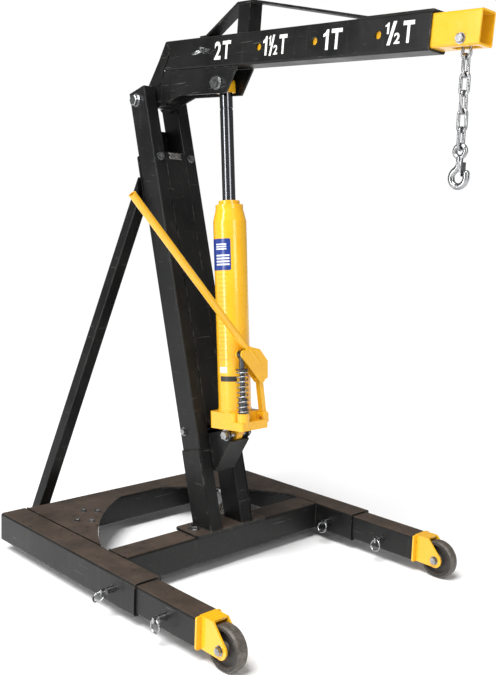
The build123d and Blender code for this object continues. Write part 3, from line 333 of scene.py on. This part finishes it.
def light(name, kind, energy, at, aim, size):
    """A sun, whose size is its angle in degrees, or a soft rectangle of that width and height."""
    data = bpy.data.lights.new(name, kind)
    data.energy = energy
    if kind == "AREA":
        data.shape = "RECTANGLE"
        data.size, data.size_y = size
    else:
        data.angle = radians(size[0])
    obj = bpy.data.objects.new(name, data)
    obj.location = at
    obj.rotation_mode = "QUATERNION"
    obj.rotation_quaternion = (Vector(aim) - Vector(at)).to_track_quat("-Z", "Y")
    scene.collection.objects.link(obj)


light("sun", "SUN", 3.35, (0.6, -2.4, 4.6), (0, 0, 0), (28,))
light("left_card", "AREA", 42, (-0.4, -2.6, 1.5), (-0.1, 0, 1.0), (0.5, 2.4))
light("front_card", "AREA", 26, (2.9, -0.6, 2.0), (0, 0, 1.0), (0.9, 1.8))

AZ, EL, ROLL, LENS = radians(46.004), radians(7.133), radians(2.043), 853.5 * 36 / 675
back = Vector((sin(AZ) * cos(EL), -cos(AZ) * cos(EL), sin(EL)))
right = Vector((cos(AZ), sin(AZ), 0))
up = back.cross(right)
across = cos(ROLL) * right + sin(ROLL) * up
upward = -sin(ROLL) * right + cos(ROLL) * up
camera = bpy.data.objects.new("camera", bpy.data.cameras.new("camera"))
camera.data.lens = LENS
camera.data.sensor_width = 36
pose = Matrix((across, upward, back)).transposed().to_4x4()
pose.translation = (1.783529, -1.743824, 1.047)
camera.matrix_world = pose
scene.collection.objects.link(camera)
scene.camera = camera

# ------------------------------------------------------------------ marks on the boom
def finish_piece(name, bm, look, body):
    """Turns a bmesh into a piece with a material that rides on a body."""
    mesh = bpy.data.meshes.new(name)
    bm.to_mesh(mesh)
    bm.free()
    mesh.materials.append(look)
    obj = bpy.data.objects.new(name, mesh)
    scene.collection.objects.link(obj)
    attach(obj, body)
    return obj


ONE = ((0.5, 0), (1, 0), (1, 1), (0.62, 1), (0.42, 0.87), (0, 0.78), (0, 0.64), (0.5, 0.69))


def figure_one(bm, l0, l1, h0, h1, y, thick):
    """A plain upright figure one, drawn as a stencil outline."""
    rims = []
    for depth in (0, thick):
        corners = [boom_mm(l0 + u * (l1 - l0), h1 - v * (h1 - h0), y - depth) for u, v in ONE]
        rims.append([bm.verts.new(place(*corner)) for corner in corners])
    bm.faces.new(rims[0][::-1])
    bm.faces.new(rims[1])
    for i in range(len(ONE)):
        j = (i + 1) % len(ONE)
        bm.faces.new((rims[0][i], rims[0][j], rims[1][j], rims[1][i]))


def glyph(bm, text, l0, l1, h0, h1, y, thick):
    """One character, fitted to its own box on the boom's near face."""
    if text == "1":
        figure_one(bm, l0, l1, h0, h1, y, thick)
        return
    curve = bpy.data.curves.new("glyph", "FONT")
    curve.body = text
    curve.offset = 0.028
    curve.resolution_u = 4
    curve.extrude = 0.5
    holder = bpy.data.objects.new("glyph", curve)
    scene.collection.objects.link(holder)
    bpy.context.view_layer.update()
    shape = bpy.data.meshes.new_from_object(holder.evaluated_get(bpy.context.evaluated_depsgraph_get()))
    xs = [v.co.x for v in shape.vertices]
    ys = [v.co.y for v in shape.vertices]
    for v in shape.vertices:
        along = l0 + (v.co.x - min(xs)) / (max(xs) - min(xs)) * (l1 - l0)
        down = h1 - (v.co.y - min(ys)) / (max(ys) - min(ys)) * (h1 - h0)
        v.co = place(*boom_mm(along, down, y - thick * (v.co.z + 0.5)))
    bm.from_mesh(shape)
    bpy.data.objects.remove(holder)
    bpy.data.curves.remove(curve)
    bpy.data.meshes.remove(shape)


MARKS = {
    "load_mark_2": (("2", 237, 266, 19, 71), ("T", 272, 308, 19, 71)),
    "load_mark_1_5": (("1", 444, 460, 19, 71), ("1", 465, 474, 19, 45), ("/", 469, 489, 17, 73),
                      ("2", 486, 502, 45, 71), ("T", 507, 537, 19, 71)),
    "load_mark_1": (("1", 669, 688, 19, 71), ("T", 697, 734, 19, 71)),
    "load_mark_0_5": (("1", 872, 884, 19, 46), ("/", 880, 906, 17, 73),
                      ("2", 901, 919, 45, 71), ("T", 926, 959, 19, 71)),
}
stencil = flat_print("stencil_white", (0.82, 0.82, 0.8), (0.5, 0.5, 0.49))
BOOM_SIDE_Y = -35
for name, glyphs in MARKS.items():
    bm = bmesh.new()
    for text, l0, l1, h0, h1 in glyphs:
        glyph(bm, text, l0, l1, h0, h1, BOOM_SIDE_Y + 0.03, 0.25)
    bmesh.ops.remove_doubles(bm, verts=bm.verts, dist=1e-6)
    finish_piece(name, bm, stencil, "boom")

# ------------------------------------------------------------------ blank stickers on the jack
def film(bm, centre_deg, width, low, high, lift, corner):
    """One thin closed patch wrapped round the cylinder."""
    columns, rows, thick = 18, 8, 0.25
    layers = []
    for layer in range(2):
        grid = []
        for j in range(rows + 1):
            line = []
            v = low + (high - low) * (1 - cos(pi * j / rows)) / 2
            near = min(v - low, high - v)
            trim = corner - (corner ** 2 - (corner - near) ** 2) ** 0.5 if near < corner else 0
            for i in range(columns + 1):
                a = radians(centre_deg) + (width / 2 - trim) * (2 * i / columns - 1) / CYLINDER_R
                r = CYLINDER_R + lift - thick + thick * layer
                line.append(bm.verts.new(jack_place(r * cos(a), r * sin(a), v)))
            grid.append(line)
        layers.append(grid)
    inner, outer = layers
    for j in range(rows):
        for i in range(columns):
            bm.faces.new((outer[j][i], outer[j][i + 1], outer[j + 1][i + 1], outer[j + 1][i]))
            bm.faces.new((inner[j][i], inner[j + 1][i], inner[j + 1][i + 1], inner[j][i + 1]))
    rim = [(j, 0) for j in range(rows, 0, -1)] + [(0, i) for i in range(columns)]
    rim += [(j, columns) for j in range(rows)] + [(rows, i) for i in range(columns, 0, -1)]
    for (j, i), (m, n) in zip(rim, rim[1:] + rim[:1]):
        bm.faces.new((outer[j][i], inner[j][i], inner[m][n], outer[m][n]))


def sticker(name, patches, look, lift=0.25, corner=4):
    """Thin films on the jack's cylinder, each with its centre angle, width, low edge and high edge."""
    bm = bmesh.new()
    for centre_deg, width, low, high in patches:
        film(bm, centre_deg, width, low, high, lift, corner)
    bmesh.ops.recalc_face_normals(bm, faces=bm.faces)
    obj = finish_piece(name, bm, look, "jack")
    obj.data.shade_smooth()
    obj.data.set_sharp_from_angle(angle=radians(40))


blue_film = flat_print("blue_film", (0.012, 0.035, 0.22), (0.02, 0.05, 0.27), 0.25)
white_film = flat_print("white_film", (0.75, 0.76, 0.78), (0.6, 0.6, 0.6), 0.3)
line_film = flat_print("line_film", (0.66, 0.31, 0.02), (0.75, 0.38, 0.02), 0.3)
black_film = flat_print("black_film", (0.02, 0.02, 0.02), (0.05, 0.045, 0.04), 0.4)
sticker("jack_label_blue", [(-90, 84, 502, 597)], blue_film)
sticker("jack_label_bars", [(-78, 38, 578 - 7 * k, 582 - 7 * k) for k in range(3)]
        + [(-73, 46, 544 - 9 * k, 549 - 9 * k) for k in range(4)], white_film, lift=0.5, corner=1.5)
sticker("jack_label_lines", [(-76 - 2 * (k % 3), 40 - 5 * (k * k % 4), 489 - 13.5 * k, 491 - 13.5 * k)
                             for k in range(20)], line_film, corner=0.9)
sticker("jack_label_white", [(-83, 28, 192, 210)], white_film, corner=2)
sticker("jack_label_black", [(-65, 56, 166, 182)], black_film, corner=2)

# ------------------------------------------------------------------ weld beads
def weld(bm, points, radius=3.2, step=1.3, ripple=3.4, sides=8):
    """A rippled bead of closed cross-sections along straight runs between points, in drawing millimetres."""
    path = []
    for a, b in zip(points, points[1:]):
        a, b = Vector(a), Vector(b)
        count = max(2, int((b - a).length / step))
        path += [a.lerp(b, i / count) for i in range(count)]
    path.append(Vector(points[-1]))
    rings, run = [], 0.0
    for k, p in enumerate(path):
        ahead, behind = path[min(k + 1, len(path) - 1)], path[max(k - 1, 0)]
        along = (ahead - behind).normalized()
        reference = Vector((0, 0, 1)) if abs(along.z) < 0.9 else Vector((1, 0, 0))
        side = along.cross(reference).normalized()
        other = along.cross(side)
        run += (p - behind).length if k else 0
        r = radius * (0.9 + 0.1 * sin(2 * pi * run / ripple) + 0.05 * sin(run * 0.61))
        if k in (0, len(path) - 1):
            r *= 0.35
        centre = p + side * 0.35 * sin(run * 0.23) + other * 0.3 * sin(run * 0.31)
        rings.append([bm.verts.new(place(*(centre + r * (cos(t) * side + sin(t) * other))))
                      for t in (2 * pi * i / sides for i in range(sides))])
    for a, b in zip(rings, rings[1:]):
        for i in range(sides):
            bm.faces.new((a[i], a[(i + 1) % sides], b[(i + 1) % sides], b[i]))
    bm.faces.new(rings[0][::-1])
    bm.faces.new(rings[-1])


def seams(name, runs, look, body, radius=3.2):
    """Weld beads along several runs, as one piece."""
    bm = bmesh.new()
    for run in runs:
        weld(bm, run, radius)
    bmesh.ops.recalc_face_normals(bm, faces=bm.faces)
    obj = finish_piece(name, bm, look, body)
    obj.data.shade_smooth()


TOP, BOTTOM, INNER = 121, 31, 400
base_runs = []
for side in (-1, 1):
    y = side * INNER
    for x0, x1 in ((0, 90), (466, 556)):
        base_runs.append([(x0 + 6, y, TOP), (x1 - 6, y, TOP)])
        base_runs.append([(x1, y, BOTTOM + 8), (x1, y, TOP - 8)])
        if x0:
            base_runs.append([(x0, y, BOTTOM + 8), (x0, y, TOP - 8)])
seams("welds_base", base_runs, paint_base, "frame")


POST_IN, POST_OUT, PLATE_TOP = 40, 90, 129
mast_runs, stitches = [], []
for side in (-1, 1):
    mast_runs.append([(563, side * (POST_IN + 2), PLATE_TOP), (563, side * (POST_OUT - 1), PLATE_TOP)])
    mast_runs.append([(562, side * POST_OUT, PLATE_TOP), (480, side * POST_OUT, PLATE_TOP)])
    mast_runs.append([mast_mm(-2, 262, side * 88.5), mast_mm(-80, 262, side * 88.5)])
    mast_runs.append([mast_mm(0, 206, side * 38), mast_mm(0, 300, side * 38)])
    for k in range(6):
        low = 345 + 158 * k
        stitches.append([mast_mm(-0.6, low, side * POST_IN), mast_mm(-0.6, low + 62, side * POST_IN)])
        stitches.append([mast_mm(-81.4, low, side * POST_IN), mast_mm(-81.4, low + 62, side * POST_IN)])
seams("welds_mast", mast_runs, paint_mast, "frame")
seams("welds_mast_stitches", stitches, paint_mast, "frame", 2.0)
patch = [[mast_mm(0.2, 1211 - 4.2 * k, -27 + 3 * (k % 3)), mast_mm(0.2, 1211 - 4.2 * k, 24 - 4 * (k % 2))]
         for k in range(5)]
seams("weld_patch_bare", patch, bare_weld, "frame", 2.4)

boom_runs = []
for side in (-1, 1):
    boom_runs.append([boom_mm(321, 0, side * 24), boom_mm(365, 0, side * 24)])
for along in (319, 367):
    boom_runs.append([boom_mm(along, 0, -22), boom_mm(along, 0, 22)])
for along in (150, 1000):
    boom_runs.append([boom_mm(along, -2, -20), boom_mm(along, -2, 20)])
seams("welds_boom", boom_runs, paint_mast, "boom", 2.6)

# ------------------------------------------------------------------ pump return spring
PUMP_X, PUMP_Y = 72, -34
SPRING_FOOT, SPRING_TOP, SPRING_WIRE, SPRING_COIL, SPRING_TURNS = 72, 202, 2, 16.5, 9.5


def spring_centre(part):
    """A point on the wire's centre line, from 0 at the foot to 1 at the cap; the end turns lie flat."""
    turn = SPRING_TURNS * part
    closed = 0.9
    if turn < closed:
        rise = 0.35 * turn / closed
    elif turn > SPRING_TURNS - closed:
        rise = 10 - 0.35 * (SPRING_TURNS - turn) / closed
    else:
        rise = 0.35 + 9.3 * (turn - closed) / (SPRING_TURNS - 2 * closed)
    low, high = SPRING_FOOT + SPRING_WIRE + 0.4, SPRING_TOP - SPRING_WIRE - 0.4
    a = 2 * pi * turn
    height = low + (high - low) * rise / 10
    return jack_place(PUMP_X + SPRING_COIL * cos(a), PUMP_Y + SPRING_COIL * sin(a), height)


def tube_along(bm, centres, radius, sides=10):
    """A closed round bar through the centres, its sections turned with the least twist."""
    rings = []
    side = None
    for k, p in enumerate(centres):
        along = (centres[min(k + 1, len(centres) - 1)] - centres[max(k - 1, 0)]).normalized()
        side = along.orthogonal() if side is None else side
        side = (side - along * side.dot(along)).normalized()
        other = along.cross(side)
        ring = []
        for i in range(sides):
            a = 2 * pi * i / sides
            ring.append(bm.verts.new(p + radius * (cos(a) * side + sin(a) * other) / 1000))
        rings.append(ring)
    for a, b in zip(rings, rings[1:]):
        for i in range(sides):
            bm.faces.new((a[i], a[(i + 1) % sides], b[(i + 1) % sides], b[i]))
    bm.faces.new(rings[0][::-1])
    bm.faces.new(rings[-1])


bm = bmesh.new()
COIL_STEPS = 420
tube_along(bm, [spring_centre(k / COIL_STEPS) for k in range(COIL_STEPS + 1)], SPRING_WIRE)
spring = finish_piece("return_spring", bm, spring_steel, "jack")
spring.data.shade_smooth()
spring.data.set_sharp_from_angle(angle=radians(50))
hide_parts("pump_spring")
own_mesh(spring)
